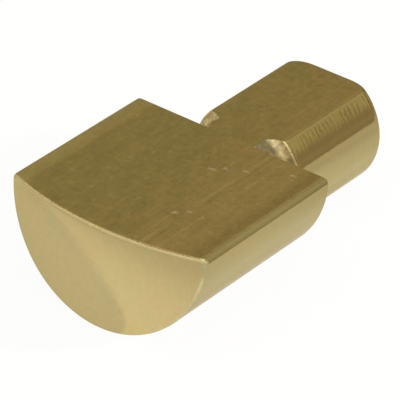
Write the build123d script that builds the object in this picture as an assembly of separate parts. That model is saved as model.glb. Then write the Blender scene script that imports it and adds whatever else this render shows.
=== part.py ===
from build123d import *
import math
import os

# Shelf support pin: one piece of brass, turned from drawn half-round bar.
# The bar's flat faces up and carries the shelf, and it runs on over the neck and the pin.
# Frame in mm: flat at z = 0, shoulder at y = 0, pin towards +Y, symmetric about x = 0.

# Half-round bar: its round, its flat and the soft corners between them
bar_radius = 4.5
flat_below_centre = 0.17
corner_radius = 0.25
ease_width = 0.5
ease_drop = 0.02

# Head: a length of the bar with a crowned front and softened rims
head_length = 7.72
crown_radius = 13.5
front_rim_radius = 0.12
shoulder_rim_radius = 0.1

# Pin: turned about an axis below the flat, so that the flat takes a slice off its round
pin_radius = 2.5
pin_length = 5.97
pin_flat_cut = 0.69
tip_radius = 0.55
pin_edge_radius = 0.2

# Neck: the relief groove that lets the shoulder seat square on the panel
neck_depth = 0.4
neck_width = 0.9

# How far tools and joined stock run past the faces that they meet
overrun = 1.0

# Worked out from the sizes above
head_depth = bar_radius - flat_below_centre
pin_axis_z = pin_flat_cut - pin_radius
pin_axis = Axis((0, 0, pin_axis_z), (0, 1, 0))
lathe_plane = Plane((0, 0, pin_axis_z), x_dir=(0, 1, 0), z_dir=(1, 0, 0))


def bar_section():
    """The half-round outline: a flat that eases down to rounded corners, over a round belly."""
    corner_half = math.sqrt(bar_radius**2 - (flat_below_centre + ease_drop) ** 2)
    flat_half = corner_half - ease_width
    left_corner = (-corner_half, -ease_drop)
    right_corner = (corner_half, -ease_drop)
    outline = [
        Line((-flat_half, 0), (flat_half, 0)),
        TangentArc((flat_half, 0), right_corner, tangent=(1, 0)),
        ThreePointArc(right_corner, (0, -head_depth), left_corner),
        TangentArc((-flat_half, 0), left_corner, tangent=(-1, 0)),
    ]
    sharp = make_face(outline)
    corners = sharp.vertices().sort_by(Axis.X)
    return Plane.XZ * fillet([corners[0], corners[-1]], corner_radius)


def head():
    """A length of bar, its front turned to a shallow crown and both rims softened."""
    crown = Pos(0, crown_radius - head_length, -head_depth / 2) * Sphere(crown_radius)
    blank = extrude(bar_section(), head_length) & crown
    front_rim = blank.faces().sort_by(Axis.Y)[0].edges()
    crowned = fillet(front_rim, front_rim_radius)
    shoulder_rim = crowned.faces().sort_by(Axis.Y)[-1].edges()
    return fillet(shoulder_rim, shoulder_rim_radius)


def turned_stem():
    """The round of the pin, from inside the head to its rounded tip."""
    outline = Polygon(
        (-overrun, 0), (-overrun, pin_radius), (pin_length, pin_radius), (pin_length, 0), align=None
    )
    tip_corner = outline.vertices().sort_by_distance((pin_length, pin_radius))[0]
    return revolve(lathe_plane * fillet(tip_corner, tip_radius), pin_axis)


def neck_ring():
    """What the round-nosed tool takes off beside the shoulder: a cylinder that runs out in a quarter round."""
    bottom = pin_radius - neck_depth
    clear = pin_radius + overrun
    run_out = neck_width - neck_depth
    outline = [
        Line((-overrun, bottom), (run_out, bottom)),
        CenterArc((run_out, pin_radius), neck_depth, -90, 90),
        Polyline((neck_width, pin_radius), (neck_width, clear), (-overrun, clear), (-overrun, bottom)),
    ]
    return revolve(lathe_plane * make_face(outline), pin_axis)


def pin():
    """The stem with the bar's flat along its top, the flat's edges softened and the neck cut in."""
    bar = extrude(bar_section(), pin_length + overrun, both=True)
    stem = turned_stem() & bar
    top_edges = stem.faces().sort_by(Axis.Z)[-1].edges()
    flat_edges = top_edges.sort_by(Axis.Y)[1:]
    return fillet(flat_edges, pin_edge_radius) - neck_ring()


os.makedirs("parts", exist_ok=True)
support_pin = head() + pin()
export_step(support_pin, "parts/support_pin.step")
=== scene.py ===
import math
import bmesh
import bpy
from mathutils import Matrix, Vector


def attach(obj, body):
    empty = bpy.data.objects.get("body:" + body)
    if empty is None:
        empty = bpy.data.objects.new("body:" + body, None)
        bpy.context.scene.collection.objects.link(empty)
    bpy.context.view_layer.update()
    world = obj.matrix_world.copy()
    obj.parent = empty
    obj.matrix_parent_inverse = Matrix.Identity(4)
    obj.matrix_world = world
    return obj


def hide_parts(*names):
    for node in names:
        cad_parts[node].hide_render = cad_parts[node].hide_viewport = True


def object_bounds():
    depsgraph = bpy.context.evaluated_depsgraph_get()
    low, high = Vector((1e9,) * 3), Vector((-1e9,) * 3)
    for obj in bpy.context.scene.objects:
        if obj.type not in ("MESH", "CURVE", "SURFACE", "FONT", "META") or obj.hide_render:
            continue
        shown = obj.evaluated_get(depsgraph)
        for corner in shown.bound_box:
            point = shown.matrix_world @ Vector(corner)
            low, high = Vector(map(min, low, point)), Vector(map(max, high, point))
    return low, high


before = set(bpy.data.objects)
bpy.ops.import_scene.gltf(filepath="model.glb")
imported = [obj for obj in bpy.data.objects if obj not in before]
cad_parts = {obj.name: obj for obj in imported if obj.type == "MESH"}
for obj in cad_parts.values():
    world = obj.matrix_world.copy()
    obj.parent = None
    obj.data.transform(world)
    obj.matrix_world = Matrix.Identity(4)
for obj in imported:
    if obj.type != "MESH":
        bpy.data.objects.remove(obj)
cad_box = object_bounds()

# Head: a length of half-round brass bar, cold drawn through a die, flat side up.
# It is sawn off, its front is faced on a lathe to a shallow crown, and the
# rims of both ends are softened. Sizes are in millimetres as far as the floor.
bar_radius = 4.5
flat_below_centre = 0.17
corner_radius = 0.25
ease_width = 0.5
ease_drop = 0.02
head_length = 7.72
head_depth = bar_radius - flat_below_centre
crown_radius = 13.5
front_rim_radius = 0.12
shoulder_rim_radius = 0.1
bar_facets, flat_cuts, crown_loops = 360, 85, 26
corner_segments, rim_segments = 8, 6
corner_clearing = 1.2
corner_gap = 1e-3
touching = 1e-4
straight_ahead = 0.999


def pick(piece, part, test):
    """Selects the vertices, edges or faces of a piece in edit mode that pass the test."""
    bpy.ops.mesh.select_mode(type={"verts": "VERT", "edges": "EDGE", "faces": "FACE"}[part])
    bpy.ops.mesh.select_all(action="DESELECT")
    shape = bmesh.from_edit_mesh(piece.data)
    shape.normal_update()
    for element in getattr(shape, part):
        element.select_set(test(element))
    bmesh.update_edit_mesh(piece.data)


bpy.ops.object.select_all(action="DESELECT")
bpy.ops.mesh.primitive_circle_add(
    vertices=bar_facets,
    radius=bar_radius,
    fill_type="NGON",
    location=(0, 0, flat_below_centre),
    rotation=(math.pi / 2, 0, 0),
)
support = bpy.context.object
support.name = "brass_support"
bpy.ops.object.transform_apply(location=True, rotation=True, scale=True)
bpy.ops.object.mode_set(mode="EDIT")
bpy.ops.mesh.select_all(action="SELECT")
bpy.ops.mesh.bisect(plane_co=(0, 0, 0), plane_no=(0, 0, 1), clear_outer=True)

corner_half = math.sqrt(bar_radius**2 - flat_below_centre**2)
flat_half = math.sqrt(bar_radius**2 - (flat_below_centre + ease_drop) ** 2) - ease_width
corner_angle = math.pi / 2 - math.asin(flat_below_centre / bar_radius)
corner_offset = corner_radius / math.tan(corner_angle / 2)
right_corner = Vector((corner_half, 0, 0))


def from_corner(vertex):
    """How far a vertex of the bar's outline lies from the nearer sharp corner."""
    return (Vector((abs(vertex.co.x), 0, vertex.co.z)) - right_corner).length


pick(
    support,
    "verts",
    lambda v: v.co.z < -touching and from_corner(v) < corner_offset * corner_clearing,
)
bpy.ops.mesh.dissolve_verts()
pick(support, "verts", lambda v: from_corner(v) < corner_gap)
bpy.ops.mesh.bevel(
    offset=corner_offset,
    segments=corner_segments,
    profile=0.5,
    affect="VERTICES",
    clamp_overlap=False,
)
pick(support, "edges", lambda e: e.calc_length() > bar_radius)
bpy.ops.mesh.subdivide(number_cuts=flat_cuts)

outline = bmesh.from_edit_mesh(support.data)
ease_radius = ease_width**2 / (2 * ease_drop)
for vertex in outline.verts:
    beyond = abs(vertex.co.x) - flat_half
    if beyond > 0 and vertex.co.z > -corner_radius:
        vertex.co.z -= beyond**2 / (2 * ease_radius) * (1 + vertex.co.z / corner_radius)
bmesh.update_edit_mesh(support.data)

bpy.ops.mesh.select_all(action="SELECT")
bpy.ops.mesh.extrude_region_move(TRANSFORM_OT_translate={"value": (0, -head_length, 0)})
bpy.ops.mesh.select_all(action="SELECT")
bpy.ops.mesh.normals_make_consistent(inside=False)

for end, radius in ((-head_length, front_rim_radius), (0, shoulder_rim_radius)):
    pick(support, "edges", lambda e: all(abs(v.co.y - end) < touching for v in e.verts))
    bpy.ops.mesh.bevel(offset=radius, segments=rim_segments, profile=0.5, clamp_overlap=False)

crown_pole = (0, -head_length, -head_depth / 2)
pick(support, "faces", lambda f: f.normal.y < -straight_ahead and len(f.verts) > bar_facets / 2)
for loop in range(crown_loops, 1, -1):
    shrink = (loop - 1) / loop
    bpy.ops.mesh.extrude_region_move(TRANSFORM_OT_translate={"value": (0, 0, 0)})
    bpy.ops.transform.resize(value=(shrink, 1, shrink), center_override=crown_pole)
bpy.ops.mesh.poke()

front = bmesh.from_edit_mesh(support.data)
for vertex in front.verts:
    if vertex.co.y < -head_length + front_rim_radius + touching:
        across = vertex.co.x**2 + (vertex.co.z - crown_pole[2]) ** 2
        vertex.co.y += crown_radius - math.sqrt(crown_radius**2 - across)
bmesh.update_edit_mesh(support.data)
bpy.ops.object.mode_set(mode="OBJECT")

# Pin: turned on the same bar about an axis below the flat, so that the flat
# runs on over the neck and the pin. The neck is a relief groove that lets the
# shoulder seat square on the cabinet side. The tip is rounded.
pin_radius = 2.5
pin_length = 5.97
pin_flat_cut = 0.69
pin_axis_z = pin_flat_cut - pin_radius
flat_over_axis = -pin_axis_z
tip_radius = 0.55
pin_edge_radius = 0.2
end_edge_radius = 0.13
neck_depth = 0.4
neck_width = 0.9
neck_edge_radius = 0.03
neck_rim_radius = 0.1
neck_share_in_head = 0.5
flat_steps, edge_steps, round_steps = 16, 8, 220
columns = 2 * (flat_steps + edge_steps) + round_steps
neck_floor_rows, wall_rows, rim_rows = 8, 14, 8
pin_rows, end_steps, tip_steps, cap_steps = 24, 6, 14, 8
seam_gap = 1e-5


def d_section(radius, edge):
    """The outline of the turned round with the flat sliced off it: (x, z over the axis, flatness)."""
    side = math.sqrt((radius - edge) ** 2 - (flat_over_axis - edge) ** 2)
    turn = math.atan2(side, flat_over_axis - edge)
    half = [(side * i / flat_steps, flat_over_axis, 1.0) for i in range(flat_steps)]
    for i in range(edge_steps):
        lean = turn * i / edge_steps
        x = side + edge * math.sin(lean)
        z = flat_over_axis - edge + edge * math.cos(lean)
        half.append((x, z, math.cos(lean / turn * math.pi / 2) ** 2))
    for i in range(round_steps // 2):
        lean = turn + (math.pi - turn) * i / (round_steps // 2)
        half.append((radius * math.sin(lean), radius * math.cos(lean), 0.0))
    left = [(-x, z, flat) for x, z, flat in reversed(half[1:])]
    return half + [(0, -radius, 0.0)] + left + [half[0]]


def tip_drop(radius):
    """How far the rounded tip falls back from the end face at a radius."""
    beyond = min(max(radius - (pin_radius - tip_radius), 0), tip_radius)
    return tip_radius - math.sqrt(tip_radius**2 - beyond**2)


# Neck: its floor from inside the head, its quarter-round wall and its rounded rim
neck_floor_end = neck_width - neck_depth
neck_bottom = pin_radius - neck_depth
rim_reach = neck_depth + neck_rim_radius
rim_centre = neck_floor_end + math.sqrt(rim_reach**2 - neck_rim_radius**2)
wall_turn = math.pi / 2 - math.asin(neck_rim_radius / rim_reach)
profile = []
for i in range(neck_floor_rows):
    along = (1 + neck_share_in_head) * i / neck_floor_rows - neck_share_in_head
    profile.append((neck_floor_end * along, neck_bottom))
for i in range(wall_rows):
    lean = wall_turn * i / wall_rows
    y = neck_floor_end + neck_depth * math.sin(lean)
    profile.append((y, pin_radius - neck_depth * math.cos(lean)))
for i in range(rim_rows + 1):
    lean = wall_turn * (1 - i / rim_rows)
    y = rim_centre - neck_rim_radius * math.sin(lean)
    profile.append((y, pin_radius - neck_rim_radius * (1 - math.cos(lean))))
rows = []
for i, (y, radius) in enumerate(profile):
    softened = max(0, i - neck_floor_rows - wall_rows) / rim_rows
    edge = neck_edge_radius + (pin_edge_radius - neck_edge_radius) * softened
    rows.append([(x, y, z) for x, z, flat in d_section(radius, edge)])

# Length of the pin, the rounded end edge of its flat, the rounded tip and the end face
pin_outline = d_section(pin_radius, pin_edge_radius)
for i in range(1, pin_rows + 1):
    row = []
    for x, z, flat in pin_outline:
        end = pin_length - tip_drop(math.hypot(x, z)) - end_edge_radius
        row.append((x, rim_centre + (end - rim_centre) * i / pin_rows, z))
    rows.append(row)
for i in range(1, end_steps + 1):
    lean = math.pi / 2 * i / end_steps
    dip = end_edge_radius * (1 - math.cos(lean))
    row = []
    for x, z, flat in pin_outline:
        z -= dip * flat
        y = pin_length - tip_drop(math.hypot(x, z)) - end_edge_radius * (1 - math.sin(lean))
        row.append((x, y, z))
    rows.append(row)
end_outline = rows[-1]
shrinks = []
for i in range(1, tip_steps + 1):
    lean = math.pi / 2 * (1 - i / tip_steps)
    shrinks.append((pin_radius - tip_radius + tip_radius * math.sin(lean)) / pin_radius)
shrinks += [shrinks[-1] * (1 - i / cap_steps) for i in range(1, cap_steps + 1)]
for shrink in shrinks:
    row = []
    for x, y, z in end_outline:
        x, z = x * shrink, z * shrink
        row.append((x, pin_length - tip_drop(math.hypot(x, z)), z))
    rows.append(row)

bpy.ops.object.select_all(action="DESELECT")
bpy.ops.mesh.primitive_grid_add(x_subdivisions=columns, y_subdivisions=len(rows) - 1, size=1)
pin = bpy.context.object
pin.name = "pin_blank"
places = [place for row in rows for place in row]
for vertex, (x, y, z) in zip(pin.data.vertices, places):
    vertex.co = (x, y, z + pin_axis_z)
bpy.ops.object.mode_set(mode="EDIT")
bpy.ops.mesh.select_all(action="SELECT")
bpy.ops.mesh.remove_doubles(threshold=seam_gap)
bpy.ops.mesh.select_mode(type="EDGE")
bpy.ops.mesh.select_all(action="DESELECT")
bpy.ops.mesh.select_non_manifold()
bpy.ops.mesh.edge_face_add()
bpy.ops.mesh.select_all(action="SELECT")
bpy.ops.mesh.normals_make_consistent(inside=False)
bpy.ops.object.mode_set(mode="OBJECT")

bpy.ops.object.select_all(action="DESELECT")
support.select_set(True)
bpy.context.view_layer.objects.active = support
union = support.modifiers.new("pin_on_head", "BOOLEAN")
union.operation = "UNION"
union.solver = "EXACT"
union.object = pin
bpy.ops.object.modifier_apply(modifier=union.name)
bpy.data.objects.remove(pin)

# Finishes: the bar's own drawn skin on the flat and the round, lathe marks on the
# faced front, the pin and the neck, and a front rim with a painted highlight. All are bare brass, so
# one mesh carries them as slots, and only the tone with its painted light and shade, the marks and the
# gloss differ.
per_mm = 1000
brass_glint = (0.8, 0.73, 0.55, 1)


class Finish:
    """A brass material in the making, with short calls for the nodes that its marks need."""

    def __init__(self, name, roughness, spread):
        self.material = bpy.data.materials.new(name)
        self.material.use_nodes = True
        self.tree = self.material.node_tree
        self.shader = self.tree.nodes["Principled BSDF"]
        self.shader.inputs["Metallic"].default_value = 1
        self.shader.inputs["Roughness"].default_value = roughness
        self.shader.inputs["Anisotropic"].default_value = spread
        self.shader.inputs["Specular Tint"].default_value = brass_glint
        place = self.node("ShaderNodeTexCoord").outputs["Object"]
        self.place = self.vector("SCALE", place, scale=per_mm)
        self.x, self.y, self.z = self.node("ShaderNodeSeparateXYZ", self.place).outputs

    def node(self, kind, *joins, **settings):
        """A new node with its first sockets joined or set."""
        node = self.tree.nodes.new(kind)
        for key, value in settings.items():
            setattr(node, key, value)
        for socket, value in zip(node.inputs, joins):
            self.join(value, socket)
        return node

    def join(self, value, socket):
        """Links an output to a socket, or sets the socket to a constant."""
        if isinstance(value, bpy.types.NodeSocket):
            self.tree.links.new(value, socket)
        else:
            socket.default_value = value

    def math(self, operation, *joins):
        return self.node("ShaderNodeMath", *joins, operation=operation).outputs[0]

    def vector(self, operation, *joins, scale=None):
        node = self.node("ShaderNodeVectorMath", *joins, operation=operation)
        if scale is not None:
            self.join(scale, node.inputs["Scale"])
        return node.outputs["Value" if operation in ("LENGTH", "DISTANCE") else "Vector"]

    def add(self, first, second):
        return self.math("ADD", first, second)

    def times(self, first, second):
        return self.math("MULTIPLY", first, second)

    def uneven(self, *patterns):
        """Adds up (pattern, weight) pairs, each pattern taken about its middle, 0.5."""
        total = 0.0
        for pattern, weight in patterns:
            total = self.add(total, self.times(self.math("SUBTRACT", pattern, 0.5), weight))
        return total

    def change(self, level, share, amount):
        """The level, raised or lowered by a part of itself where the share is 1."""
        return self.times(level, self.math("MULTIPLY_ADD", share, amount, 1.0))

    def noise(self, scale, stretch=(1, 1, 1), detail=4, roughness=0.55, place=None):
        """Noise between about 0 and 1, its grain drawn out along the axes that stretch makes small."""
        where = self.vector("MULTIPLY", place or self.place, stretch)
        node = self.node("ShaderNodeTexNoise")
        self.join(where, node.inputs["Vector"])
        for key, value in (("Scale", scale), ("Detail", detail), ("Roughness", roughness)):
            node.inputs[key].default_value = value
        return node.outputs["Fac"]

    def ramp(self, value, low, high, to_low=0.0, to_high=1.0):
        """Eases a value from to_low at low to to_high at high."""
        node = self.node("ShaderNodeMapRange", interpolation_type="SMOOTHSTEP")
        for key, level in zip(range(5), (value, low, high, to_low, to_high)):
            self.join(level, node.inputs[key])
        return node.outputs[0]

    def blend(self, share, first, second):
        """The first colour where the share is 0, the second where it is 1."""
        node = self.node("ShaderNodeMix", data_type="RGBA")
        self.join(share, node.inputs["Factor"])
        self.join(first, node.inputs[6])
        self.join(second, node.inputs[7])
        return node.outputs[2]

    def shade(self, colour, level):
        """The colour times a level."""
        return self.vector("SCALE", colour, scale=level)

    def round_the_bar(self):
        """The direction round the bar's length, for a grain across it."""
        return self.node("ShaderNodeTangent", direction_type="RADIAL", axis="Y").outputs[0]

    def paint(self, colour, roughness=None, height=None, depth_mm=None, tangent=None):
        """Joins the finished colour, roughness, marks and lie of the grain to the shader."""
        self.join(colour, self.shader.inputs["Base Color"])
        if roughness is not None:
            self.join(roughness, self.shader.inputs["Roughness"])
        if height is not None:
            bump = self.node("ShaderNodeBump")
            bump.inputs["Distance"].default_value = depth_mm / per_mm
            self.join(height, bump.inputs["Height"])
            self.join(bump.outputs[0], self.shader.inputs["Normal"])
        if tangent is not None:
            self.join(tangent, self.shader.inputs["Tangent"])


# Drawn flat: the bar's top as the die left it, a dull mottled skin with broken lines along it.
# Painted sheen lies along the bar's edges, with a painted shade band on the right, and handling left a
# few bright nicks.
flat_roughness = 0.28
warm_brass = (0.635, 0.487, 0.204, 1)
green_brass = (0.575, 0.482, 0.199, 1)
sheen_brass = (0.6, 0.52, 0.24, 1)
nicked_brass = (0.96, 0.85, 0.54, 1)
shoulder_line = (0.02, -0.02)
drawn = Finish("brass_drawn_flat", roughness=flat_roughness, spread=0.5)
lines = drawn.noise(1.0, stretch=(6, 0.2, 6))
speck = drawn.noise(4.5, stretch=(1, 0.8, 1), detail=3, roughness=0.75)
cloud = drawn.noise(1.3, stretch=(1, 0.7, 1), roughness=0.6)
on_head = drawn.ramp(drawn.y, *shoulder_line)
on_pin = drawn.math("SUBTRACT", 1.0, on_head)

# Tone: green on the left to warm on the right, in clouds, and warmer over the pin
green_to_warm, cloud_sway = (-1.0, 2.6), 9.0
head_to_pin, pin_warmth = (-0.5, 2.0), 1.2
warm_side = drawn.add(drawn.x, drawn.uneven((cloud, cloud_sway)))
warm_side = drawn.add(warm_side, drawn.ramp(drawn.y, *head_to_pin, 0, pin_warmth))
tone = drawn.blend(drawn.ramp(warm_side, *green_to_warm), green_brass, warm_brass)

# Skin: mottled all over, with light flecks on the head
fleck_edge, fleck_light = (0.6, 0.74), 0.2
level = drawn.add(1.0, drawn.uneven((lines, 0.18), (speck, 0.5), (cloud, 0.35)))
flecks = drawn.noise(3.2, stretch=(1, 0.8, 1), detail=2, roughness=0.6)
flecks = drawn.ramp(flecks, *fleck_edge, 0, fleck_light)
level = drawn.add(level, drawn.times(flecks, on_head))

# Die lines: the place of each across the bar, its half width, and how light or dark it is
die_lines = (
    (1.62, 0.06, 0.14),
    (1.93, 0.07, 0.28),
    (2.13, 0.07, -0.2),
    (2.6, 0.09, 0.14),
    (0.9, 0.05, 0.1),
    (-2.3, 0.08, 0.08),
)
line_breaks = (0.38, 0.6)
broken = drawn.ramp(drawn.noise(1.0, stretch=(2, 0.5, 1), detail=3), *line_breaks)
for x, half_width, strength in die_lines:
    off = drawn.math("ABSOLUTE", drawn.math("SUBTRACT", drawn.x, x))
    line = drawn.ramp(off, half_width, 0.0, 0, strength)
    level = drawn.add(level, drawn.times(line, broken))

# Edges: a painted shade band and a painted sheen strip on the right, a painted sheen strip on the
# left, painted light over the right side of the head and along the edges of the pin's flat
right_shade_band, shade_band_dark = (3.45, 4.03), -0.2
right_strip, right_strip_light = (4.08, 4.3), 0.36
left_strip, left_strip_light = (-3.45, -3.85), 0.2
right_side, right_side_light = (0.3, 2.8), 0.07
pin_strip, pin_strip_light = (1.45, 1.75), 0.1
left_sheen_edge, sheen_share = (-3.85, -4.15), 0.7
right_sheen = drawn.ramp(drawn.x, *right_strip)
edges = drawn.ramp(drawn.x, *right_shade_band, 0, shade_band_dark)
edges = drawn.add(edges, drawn.times(right_sheen, right_strip_light))
edges = drawn.add(edges, drawn.times(drawn.ramp(drawn.x, *left_strip), left_strip_light))
edges = drawn.add(edges, drawn.ramp(drawn.x, *right_side, 0, right_side_light))
pin_edges = drawn.ramp(drawn.math("ABSOLUTE", drawn.x), *pin_strip, 0, pin_strip_light)
edges = drawn.add(drawn.times(edges, on_head), drawn.times(pin_edges, on_pin))
level = drawn.add(level, edges)
# The painted sheen strips also get a paler tone
edge_sheen = drawn.math("MAXIMUM", right_sheen, drawn.ramp(drawn.x, *left_sheen_edge))
edge_sheen = drawn.times(edge_sheen, on_head)
tone = drawn.blend(drawn.times(edge_sheen, sheen_share), tone, sheen_brass)

# Roll: painted highlight and painted shade where the flat goes over the front rim, lighter on the left
# and darker on the right
roll_depth, roll_place, roll_side = (-0.003, -0.02), (-6.7, -6.85), (-1.0, 3.0)
left_roll_light, right_roll_dark = 0.1, -0.55
over_rim = drawn.times(drawn.ramp(drawn.z, *roll_depth), drawn.ramp(drawn.y, *roll_place))
roll_light = drawn.ramp(drawn.x, *roll_side, left_roll_light, right_roll_dark)
level = drawn.change(level, over_rim, roll_light)
colour = drawn.shade(tone, level)

# Nicks: place across and along the bar, half length along it, and that over the half width across it
nicks = (
    (1.68, -5.2, 0.19, 1.0),
    (2.04, -4.83, 0.12, 0.7),
    (0.87, -2.18, 0.15, 0.5),
    (1.21, -1.86, 0.14, 0.8),
    (1.92, -1.54, 0.12, 0.5),
    (3.36, -0.71, 0.14, 0.6),
)
deep_nick, nick_share, skin_relief = 0.13, 0.85, 0.12
dents = 0.0
for x, y, half_length, slimness in nicks:
    where = drawn.vector("MULTIPLY", drawn.place, (slimness, 1, 0))
    away = drawn.vector("DISTANCE", where, (x * slimness, y, 0))
    inside = drawn.ramp(away, half_length, 0.0)
    colour = drawn.blend(drawn.times(inside, nick_share), colour, nicked_brass)
    dents = drawn.math("MULTIPLY_ADD", inside, half_length / deep_nick, dents)
skin = drawn.times(drawn.uneven((lines, 1.0), (speck, 0.7)), skin_relief)
drawn.paint(
    colour,
    roughness=drawn.add(flat_roughness, drawn.uneven((speck, 0.1), (lines, 0.06))),
    height=drawn.math("SUBTRACT", skin, dents),
    depth_mm=0.03,
    tangent=drawn.round_the_bar(),
)

# Drawn round: the same skin on the bar's belly, with die lines along the bar. A painted highlight
# runs along the flat's corners, painted shade below them and towards the shoulder, and a paler,
# greener painted floor reflection further down.
belly_roughness = 0.2
corner_brass = (0.57, 0.485, 0.238, 1)
upper_belly_brass = (0.458, 0.39, 0.203, 1)
lower_belly_brass = (0.53, 0.497, 0.33, 1)
corner_edge, corner_light = (-0.06, -0.02), 0.24
to_shoulder, shoulder_dimming = (-4.0, 0.0), 0.93
up_to_corner, down_the_belly = (-0.3, -0.16), (-0.3, -1.6)
belly = Finish("brass_drawn_round", roughness=belly_roughness, spread=0.3)
lines = belly.noise(1.0, stretch=(5, 0.15, 5), detail=5)
speck = belly.noise(4.0, detail=3, roughness=0.7)
level = belly.add(1.0, belly.uneven((lines, 0.12), (speck, 0.12)))
level = belly.add(level, belly.ramp(belly.z, *corner_edge, 0, corner_light))
level = belly.times(level, belly.ramp(belly.y, *to_shoulder, 1.0, shoulder_dimming))
tone = belly.blend(belly.ramp(belly.z, *down_the_belly), upper_belly_brass, lower_belly_brass)
tone = belly.blend(belly.ramp(belly.z, *up_to_corner), tone, corner_brass)
belly.paint(
    belly.shade(tone, level),
    roughness=belly.add(belly_roughness, belly.uneven((speck, 0.08))),
    height=belly.uneven((lines, 1.0), (speck, 0.3)),
    depth_mm=0.002,
    tangent=belly.round_the_bar(),
)

# Faced front: turned smooth to the crown, with rings almost too fine to see.
# It mirrors the floor before it, bright where that is lit and darker in the support's shadow.
facing_depth = 1.85
facing_centre = (0, -head_length, -facing_depth)
green_front_brass = (0.574, 0.492, 0.246, 1)
warm_front_brass = (0.599, 0.487, 0.239, 1)
cloud_edge = (0.35, 0.65)
faced = Finish("brass_faced_front", roughness=0.14, spread=0.5)
from_centre = faced.vector("SUBTRACT", faced.place, facing_centre)
from_centre = faced.vector("MULTIPLY", from_centre, (1, 0, 1))
away = faced.vector("LENGTH", from_centre)
ring_place = faced.node("ShaderNodeCombineXYZ", away).outputs[0]
rings = faced.noise(1.0, stretch=(6, 1, 1), place=ring_place)
speck = faced.noise(4.0, detail=3, roughness=0.7)
cloud = faced.noise(0.7, detail=3)
tone = faced.blend(faced.ramp(cloud, *cloud_edge), green_front_brass, warm_front_brass)
level = faced.add(1.0, faced.uneven((rings, 0.1), (speck, 0.14)))
faced.paint(
    faced.shade(tone, level),
    height=faced.uneven((rings, 1.0), (speck, 0.5)),
    depth_mm=0.002,
    tangent=from_centre,
)

# Turned pin: glossy below, where it mirrors the floor, with chatter marks where the tool met
# the edges of the flat. The shoulder's face is cut in the same setting and has this finish too.
pin_roughness, edge_dulling = 0.1, 0.14
across_the_grain = 0.25
edge_sheen_brass = (0.57, 0.47, 0.196, 1)
upper_pin_brass = (0.525, 0.422, 0.184, 1)
middle_pin_brass = (0.475, 0.408, 0.209, 1)
lower_pin_brass = (0.505, 0.462, 0.287, 1)
turned = Finish("brass_turned_pin", roughness=pin_roughness, spread=0.5)
turned.shader.inputs["Anisotropic Rotation"].default_value = across_the_grain
rings = turned.noise(1.0, stretch=(0.2, 4.5, 0.2), detail=3, roughness=0.6)
torn = turned.noise(1.0, stretch=(1.2, 2.5, 1.2), detail=3, roughness=0.6)
speck = turned.noise(3.5, detail=3, roughness=0.7)
level = turned.add(1.0, turned.uneven((rings, 0.12), (speck, 0.12)))

# Chatter: waves along the pin, broken up, in a band below the flat and strongest near its ends. The
# waves are bumped and also lighten and darken the colour as painted glints; the band, its ends and the
# flat's edge get painted sheen.
wave_radians_per_mm, wave_sway, wave_breaks = 29.0, 14.0, (0.35, 0.7)
band_bottom, band_top = (-0.65, -0.3), (-0.02, -0.16)
band_middle, band_ends = 3.3, (1.2, 2.1)
mark_light, end_mark_light, end_light = 0.3, 0.3, 0.1
flat_edge, flat_edge_light = (-0.1, -0.02), 0.12
feed = turned.add(turned.times(turned.y, wave_radians_per_mm), turned.times(torn, wave_sway))
chatter = turned.times(turned.math("SINE", feed), turned.ramp(torn, *wave_breaks))
near_flat = turned.ramp(turned.z, *band_bottom)
band = turned.times(near_flat, turned.ramp(turned.z, *band_top))
marks = turned.times(chatter, band)
from_middle = turned.math("ABSOLUTE", turned.math("SUBTRACT", turned.y, band_middle))
ends = turned.ramp(from_middle, *band_ends)
mark_strength = turned.math("MULTIPLY_ADD", ends, end_mark_light, mark_light)
level = turned.add(level, turned.times(marks, mark_strength))
level = turned.add(level, turned.times(ends, turned.times(band, end_light)))
level = turned.add(level, turned.ramp(turned.z, *flat_edge, 0, flat_edge_light))

# Ends: dull beside the neck's rim, with painted shade there, and painted shade high on the tip's round
beside_rim, rim_dimming = (0.95, 1.06), 0.8
dull_place, dull_roughness = (1.12, 1.0), 0.45
tip_place, tip_height, tip_dark = (5.45, 5.65), (-1.25, -0.8), -0.3
level = turned.times(level, turned.ramp(turned.y, *beside_rim, rim_dimming, 1.0))
dull = turned.ramp(turned.y, *dull_place, 0, dull_roughness)
on_tip = turned.times(turned.ramp(turned.y, *tip_place), turned.ramp(turned.z, *tip_height))
level = turned.change(level, on_tip, tip_dark)

# Tone: from the edge of the flat down round the pin, as painted reflection, darker at the middle and
# paler and greener low, where the pin mirrors the floor
upper_to_middle, middle_to_lower = (-0.7, -1.5), (-1.9, -2.5)
tone = turned.blend(turned.ramp(turned.z, *upper_to_middle), upper_pin_brass, middle_pin_brass)
tone = turned.blend(turned.ramp(turned.z, *middle_to_lower), tone, lower_pin_brass)
# Painted sheen: a paler tone in the band below the flat
tone = turned.blend(near_flat, tone, edge_sheen_brass)
roughness = turned.math("MULTIPLY_ADD", near_flat, edge_dulling, pin_roughness)
turned.paint(
    turned.shade(tone, level),
    roughness=turned.add(roughness, dull),
    height=turned.add(turned.uneven((rings, 0.3), (speck, 0.2)), marks),
    depth_mm=0.01,
    tangent=turned.round_the_bar(),
)

# Turned neck: torn by the round-nosed tool, so it is mottled and has no gloss.
# Painted shade dims its floor, beside the shoulder, and a painted highlight brightens its wall.
dull_torn_brass = (0.74, 0.66, 0.42, 1)
bright_torn_brass = (0.9, 0.76, 0.45, 1)
torn_edge = (0.4, 0.6)
floor_to_wall, neck_floor_shade, neck_wall_highlight = (0.53, 0.78), 0.54, 1.08
wall_foot, neck_floor_roughness, neck_wall_roughness = (0.58, 0.75), 0.4, 0.6
neck = Finish("brass_turned_neck", roughness=neck_floor_roughness, spread=0.3)
neck.shader.inputs["Anisotropic Rotation"].default_value = across_the_grain
torn = neck.noise(5.5, detail=2, roughness=0.5)
tone = neck.blend(neck.ramp(torn, *torn_edge), dull_torn_brass, bright_torn_brass)
level = neck.add(1.0, neck.uneven((torn, 0.9)))
level = neck.times(level, neck.ramp(neck.y, *floor_to_wall, neck_floor_shade, neck_wall_highlight))
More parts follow.
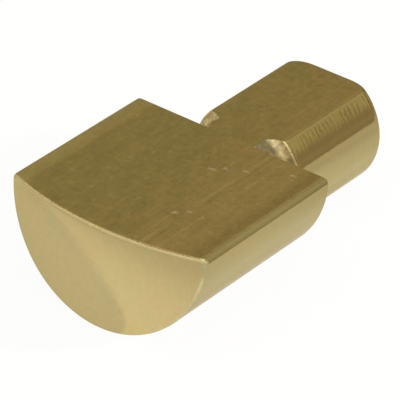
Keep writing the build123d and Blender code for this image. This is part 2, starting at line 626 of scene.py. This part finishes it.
neck.paint(
    neck.shade(tone, level),
    roughness=neck.ramp(neck.y, *wall_foot, neck_floor_roughness, neck_wall_roughness),
    height=torn,
    depth_mm=0.007,
    tangent=neck.round_the_bar(),
)

# Front rim: the deburred edge of the faced front, rough, its light line a painted highlight.
# Painted shade darkens it just below the flat's corners and a little low on the belly.
left_rim_highlight_brass = (0.8, 0.71, 0.425, 1)
right_rim_highlight_brass = (0.82, 0.74, 0.46, 1)
corner_top, corner_bottom, corner_shade = (-0.06, -0.16), (-0.95, -0.55), -0.22
low_on_belly, low_dimming = (-0.9, -2.0), 0.88
left_to_right = (-2.5, 4.3)
rim_highlight = Finish("brass_rim_painted_highlight", roughness=0.68, spread=0.0)
speck = rim_highlight.noise(4.0, detail=3, roughness=0.7)
level = rim_highlight.add(1.0, rim_highlight.uneven((speck, 0.2)))
corner = rim_highlight.times(rim_highlight.ramp(rim_highlight.z, *corner_top), rim_highlight.ramp(rim_highlight.z, *corner_bottom))
level = rim_highlight.change(level, corner, corner_shade)
level = rim_highlight.times(level, rim_highlight.ramp(rim_highlight.z, *low_on_belly, 1.0, low_dimming))
tone = rim_highlight.blend(rim_highlight.ramp(rim_highlight.x, *left_to_right), left_rim_highlight_brass, right_rim_highlight_brass)
rim_highlight.paint(rim_highlight.shade(tone, level))

# Faces to finishes: by where a face lies and how far its normal leans up, ahead or along the pin
finishes = [drawn, belly, faced, turned, neck, rim_highlight]
FLAT, ROUND, FACED, TURNED, NECK, RIM = range(len(finishes))
for finish in finishes:
    support.data.materials.append(finish.material)
flat_reach, top_reach, front_reach, shoulder_reach = 0.08, 0.3, 2, 0.01
flat_lean, front_lean, shoulder_lean = 0.985, 0.08, 0.7
roll_lean, rim_top_lean, crown_lean = 0.7, 0.2, 0.93
rim_lean_start, rim_lean_end = 0.35, 0.85
pin_share_of_rim = 0.3
neck_finish_end = rim_centre - neck_rim_radius * pin_share_of_rim


def front_finish(place, normal):
    """The finish of a face on the front or its rim."""
    ahead = -normal.y
    on_top = place.z > -top_reach
    if on_top and normal.z > rim_top_lean:
        return FLAT if normal.z > roll_lean else RIM
    if ahead > crown_lean:
        return FACED
    if on_top or rim_lean_start < ahead < rim_lean_end:
        return RIM
    return FACED if ahead >= rim_lean_end else ROUND


def finish_of(face):
    """Which of the finishes a face of the support has."""
    place, normal = face.center, face.normal
    if normal.z > flat_lean and place.z > -flat_reach:
        return FLAT
    if place.y < front_reach - head_length and normal.y < -front_lean:
        return front_finish(place, normal)
    if place.y < shoulder_reach:
        return TURNED if normal.y > shoulder_lean else ROUND
    return NECK if place.y < neck_finish_end else TURNED


weld_gap, sliver = 2e-4, 1e-5
smooth_angle = 32
bpy.ops.object.mode_set(mode="EDIT")
bpy.ops.mesh.select_all(action="SELECT")
bpy.ops.mesh.remove_doubles(threshold=weld_gap)
bpy.ops.mesh.dissolve_degenerate(threshold=sliver)
bpy.ops.mesh.normals_make_consistent(inside=False)
bpy.ops.object.mode_set(mode="OBJECT")
for face in support.data.polygons:
    face.material_index = finish_of(face)
support.scale = (1 / per_mm, 1 / per_mm, 1 / per_mm)
bpy.ops.object.transform_apply(location=True, rotation=True, scale=True)
bpy.ops.object.shade_smooth_by_angle(angle=math.radians(smooth_angle))
even = support.modifiers.new("even_shading", "WEIGHTED_NORMAL")
even.keep_sharp = True
even.weight = 100
bpy.ops.object.modifier_apply(modifier=even.name)
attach(support, "root")
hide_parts("support_pin")

# Floor: a wide white sheet under the lowest line of the bar. The camera sees it white,
# with a faint shadow under the support. The metal sees a painted pool of glow on it, brightest near
# the support and dimmer further out, and a painted warm glow beyond the far edge of that pool. From
# here on, metres.
floor_size = 3.0
floor_level = cad_box[0][2]
paper_white = (0.95, 0.95, 0.95, 1)
glow_white = (1, 1, 1, 1)
far_warm_glow = (1, 0.89, 0.65, 1)
glow_pool_centre = (-0.005, -0.001, floor_level)
glow_pool_radius, glow_fade_radius, glow_fade_level = 0.009, 0.02, 0.38
far_edge_start, far_edge_end = 0.037, 0.046
mirrored_share, seen_share = 0.5, 0.95
bpy.ops.object.select_all(action="DESELECT")
bpy.ops.mesh.primitive_plane_add(size=floor_size, location=(0, 0, floor_level))
floor = bpy.context.object
floor.name = "floor"
bpy.ops.object.transform_apply(location=True, rotation=True, scale=True)
white_floor = bpy.data.materials.new("white_floor")
white_floor.use_nodes = True
tree = white_floor.node_tree
tree.nodes.remove(tree.nodes["Principled BSDF"])


def floor_math(operation, *joins):
    """A number worked out in the floor's material."""
    node = tree.nodes.new("ShaderNodeMath")
    node.operation = operation
    for socket, value in zip(node.inputs, joins):
        if isinstance(value, bpy.types.NodeSocket):
            tree.links.new(value, socket)
        else:
            socket.default_value = value
    return node.outputs[0]


def fade(wiring, value, start, end, level, end_level):
    """Eases from a level at start to another at end, in the nodes of a material or the world."""
    node = wiring.nodes.new("ShaderNodeMapRange")
    node.interpolation_type = "SMOOTHSTEP"
    wiring.links.new(value, node.inputs["Value"])
    for key, setting in zip(range(1, 5), (start, end, level, end_level)):
        node.inputs[key].default_value = setting
    return node.outputs[0]


path = tree.nodes.new("ShaderNodeLightPath").outputs
place = tree.nodes.new("ShaderNodeTexCoord")
away = tree.nodes.new("ShaderNodeVectorMath")
away.operation = "DISTANCE"
tree.links.new(place.outputs["Object"], away.inputs[0])
away.inputs[1].default_value = glow_pool_centre
glow_pool = fade(tree, away.outputs["Value"], glow_pool_radius, glow_fade_radius, 1.0, glow_fade_level)
beyond = fade(tree, away.outputs["Value"], far_edge_start, far_edge_end, 0.0, 1.0)
mirrored = path["Is Glossy Ray"]
direct = floor_math("MAXIMUM", path["Is Camera Ray"], path["Is Transmission Ray"])

paper = tree.nodes.new("ShaderNodeBsdfDiffuse")
paper.inputs["Color"].default_value = paper_white
glow = tree.nodes.new("ShaderNodeEmission")
sheet = tree.nodes.new("ShaderNodeMix")
sheet.data_type = "RGBA"
tree.links.new(floor_math("MULTIPLY", beyond, mirrored), sheet.inputs["Factor"])
sheet.inputs[6].default_value = glow_white
sheet.inputs[7].default_value = far_warm_glow
tree.links.new(sheet.outputs[2], glow.inputs["Color"])
strength = floor_math("MAXIMUM", floor_math("MULTIPLY", mirrored, glow_pool), direct)
tree.links.new(strength, glow.inputs["Strength"])
share = floor_math("MULTIPLY_ADD", beyond, 1 - mirrored_share, mirrored_share)
seen = floor_math(
    "MAXIMUM", floor_math("MULTIPLY", mirrored, share), floor_math("MULTIPLY", direct, seen_share)
)
mix = tree.nodes.new("ShaderNodeMixShader")
tree.links.new(seen, mix.inputs["Fac"])
tree.links.new(paper.outputs[0], mix.inputs[1])
tree.links.new(glow.outputs[0], mix.inputs[2])
tree.links.new(mix.outputs[0], tree.nodes["Material Output"].inputs["Surface"])
floor.data.materials.append(white_floor)

# Light: a dim warm room, lighter to the front right, and four soft boxes, the faintest of
# them a back wall. A small low window behind on the right lights only the floor,
# because the metal does not mirror it.
room_colour = Vector((0.385, 0.343, 0.25))
front_right = (0.6, -0.8, 0)
front_start, front_end, front_gain = -0.1, 0.7, 1.5
heights = ((0.0, 1.12), (0.13, 0.95), (0.55, 0.94), (0.7, 0.86), (1.0, 0.8))
lamp_distance = 0.6
world = bpy.data.worlds.new("studio")
bpy.context.scene.world = world
world.use_nodes = True
room = world.node_tree
wall = room.nodes["Background"]
view = room.nodes.new("ShaderNodeTexCoord").outputs["Generated"]
direction = room.nodes.new("ShaderNodeSeparateXYZ")
room.links.new(view, direction.inputs[0])
height = room.nodes.new("ShaderNodeValToRGB")
room.links.new(direction.outputs["Z"], height.inputs[0])
room.links.new(height.outputs[0], wall.inputs["Color"])
while len(height.color_ramp.elements) < len(heights):
    height.color_ramp.elements.new(0.5)
for element, (position, strength) in zip(height.color_ramp.elements, heights):
    element.position = position
    element.color = (*(room_colour * strength), 1)
to_front = room.nodes.new("ShaderNodeVectorMath")
to_front.operation = "DOT_PRODUCT"
room.links.new(view, to_front.inputs[0])
to_front.inputs[1].default_value = front_right
gain = fade(room, to_front.outputs["Value"], front_start, front_end, 1.0, front_gain)
room.links.new(gain, wall.inputs["Strength"])


def soft_box(name, azimuth, elevation, size, radiance, colour):
    """A square area lamp that looks at the support from a compass direction."""
    lamp = bpy.data.lights.new(name, "AREA")
    lamp.shape = "SQUARE"
    lamp.size = size
    lamp.energy = radiance * math.pi * size**2
    lamp.color = colour
    holder = bpy.data.objects.new(name, lamp)
    bpy.context.scene.collection.objects.link(holder)
    turn, lift = math.radians(azimuth), math.radians(elevation)
    towards = Vector(
        (math.sin(turn) * math.cos(lift), -math.cos(turn) * math.cos(lift), math.sin(lift))
    )
    holder.location = towards * lamp_distance
    holder.rotation_euler = towards.to_track_quat("Z", "Y").to_euler()
    return holder


soft_box("overhead", 10, 78, size=0.45, radiance=1.7, colour=(1, 0.99, 0.97))
soft_box("key", 48, 28, size=0.3, radiance=1.25, colour=(1, 0.98, 0.94))
soft_box("edge", -43, 41, size=0.27, radiance=1.2, colour=(1, 0.98, 0.94))
soft_box("back_wall", 150, 37, size=0.46, radiance=0.14, colour=(1, 0.97, 0.75))
window = soft_box("window", 121.5, 22, size=0.04, radiance=780, colour=(1, 0.86, 0.64))
window.visible_glossy = False

# Camera: a long lens from the front right and above, at the photograph's angle.
# Its place and focal length come from fitting the solid's outline to the picture.
camera_azimuth, camera_elevation = math.radians(39.6722), math.radians(32.7873)
camera_distance = 0.1286268
camera_aim = Vector((-0.0014821, 0, -0.0033361))
focal_pixels, image_pixels, sensor_mm = 3497.9575, 400, 36
right = Vector((math.cos(camera_azimuth), math.sin(camera_azimuth), 0))
back = Vector(
    (
        math.sin(camera_azimuth) * math.cos(camera_elevation),
        -math.cos(camera_azimuth) * math.cos(camera_elevation),
        math.sin(camera_elevation),
    )
)
up = back.cross(right)
lens = bpy.data.cameras.new("photo_camera")
lens.sensor_width = sensor_mm
lens.lens = focal_pixels * sensor_mm / image_pixels
lens.clip_start = 0.005
camera = bpy.data.objects.new("photo_camera", lens)
bpy.context.scene.collection.objects.link(camera)
camera.matrix_world = Matrix.Translation(camera_aim + camera_distance * back) @ Matrix(
    (right, up, back)
).transposed().to_4x4()
bpy.context.scene.camera = camera
bpy.context.scene.view_settings.view_transform = "Standard"
